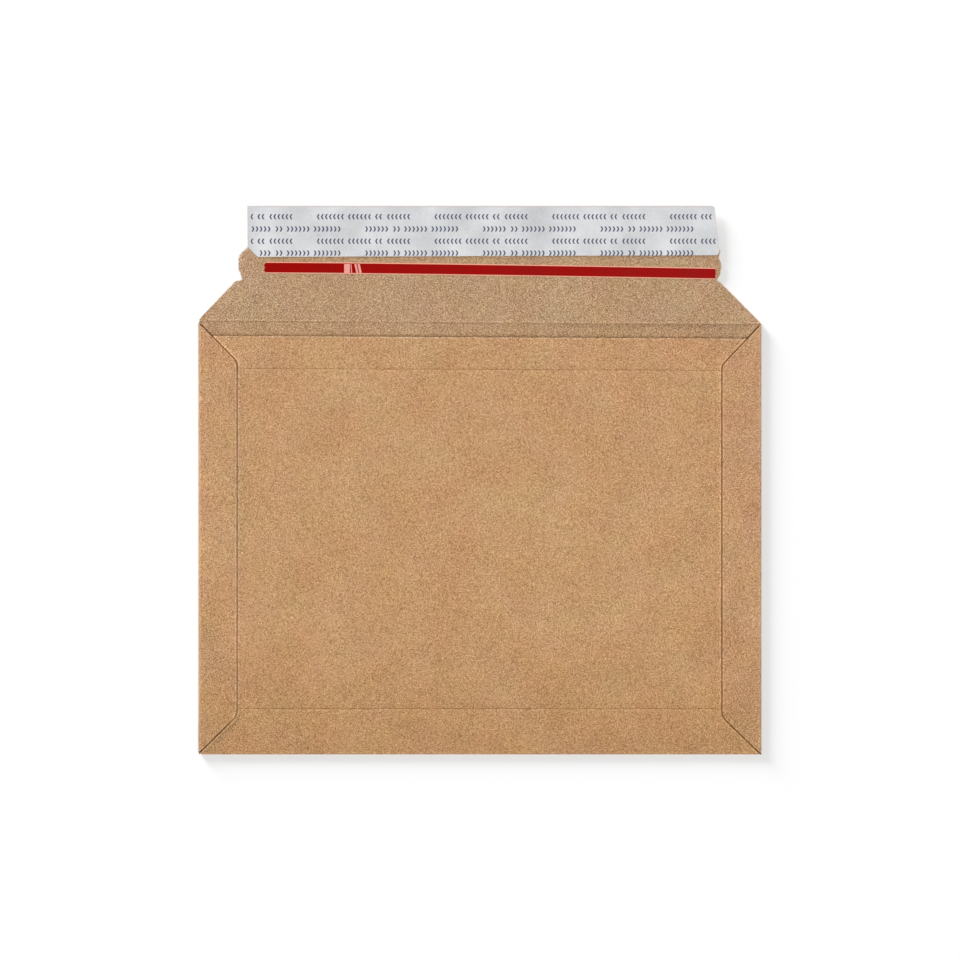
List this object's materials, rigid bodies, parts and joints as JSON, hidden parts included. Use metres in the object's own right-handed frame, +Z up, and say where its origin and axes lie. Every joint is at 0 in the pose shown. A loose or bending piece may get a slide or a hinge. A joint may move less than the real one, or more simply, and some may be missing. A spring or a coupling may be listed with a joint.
{
  "type": "board book mailer",
  "caption": "Flat kraft board mailer for a book: glued pocket with mitred side flaps, open closing flap with peel-and-seal liner and tear tape",
  "frame": {"origin": "middle of the plan box of the open mailer, on the face it lies on", "axes": "+X to the right along the flap's crease, +Y from the pocket's closed bottom edge towards the flap, +Z up out of the pocket's front"},
  "size_m": [0.235, 0.2286, 0.0031],
  "materials": {
    "kraft_board": "uncoated brown kraft face of solid board",
    "board_inside": "uncoated inner face of the board, greyer than the outside",
    "clear_adhesive": "tacky clear adhesive film",
    "release_paper": "smooth silicone-coated release paper",
    "red_film": "glossy red plastic film tape"
  },
  "bodies": {
    "pocket": {"pocket": "kraft_board", "left_seam_glue": "clear_adhesive", "right_seam_glue": "clear_adhesive"},
    "flap": {"closing_flap": "board_inside", "seal_adhesive": "clear_adhesive", "release_liner": "release_paper", "tear_tape": "red_film"}
  },
  "joints": [
    {"name": "flap_fold", "type": "hinge", "parent": "pocket", "child": "flap", "pos_m": [0, 0.06569, 0.00165], "axis": [1, 0, 0], "range_deg": [-2.5, 177.5]}
  ]
}
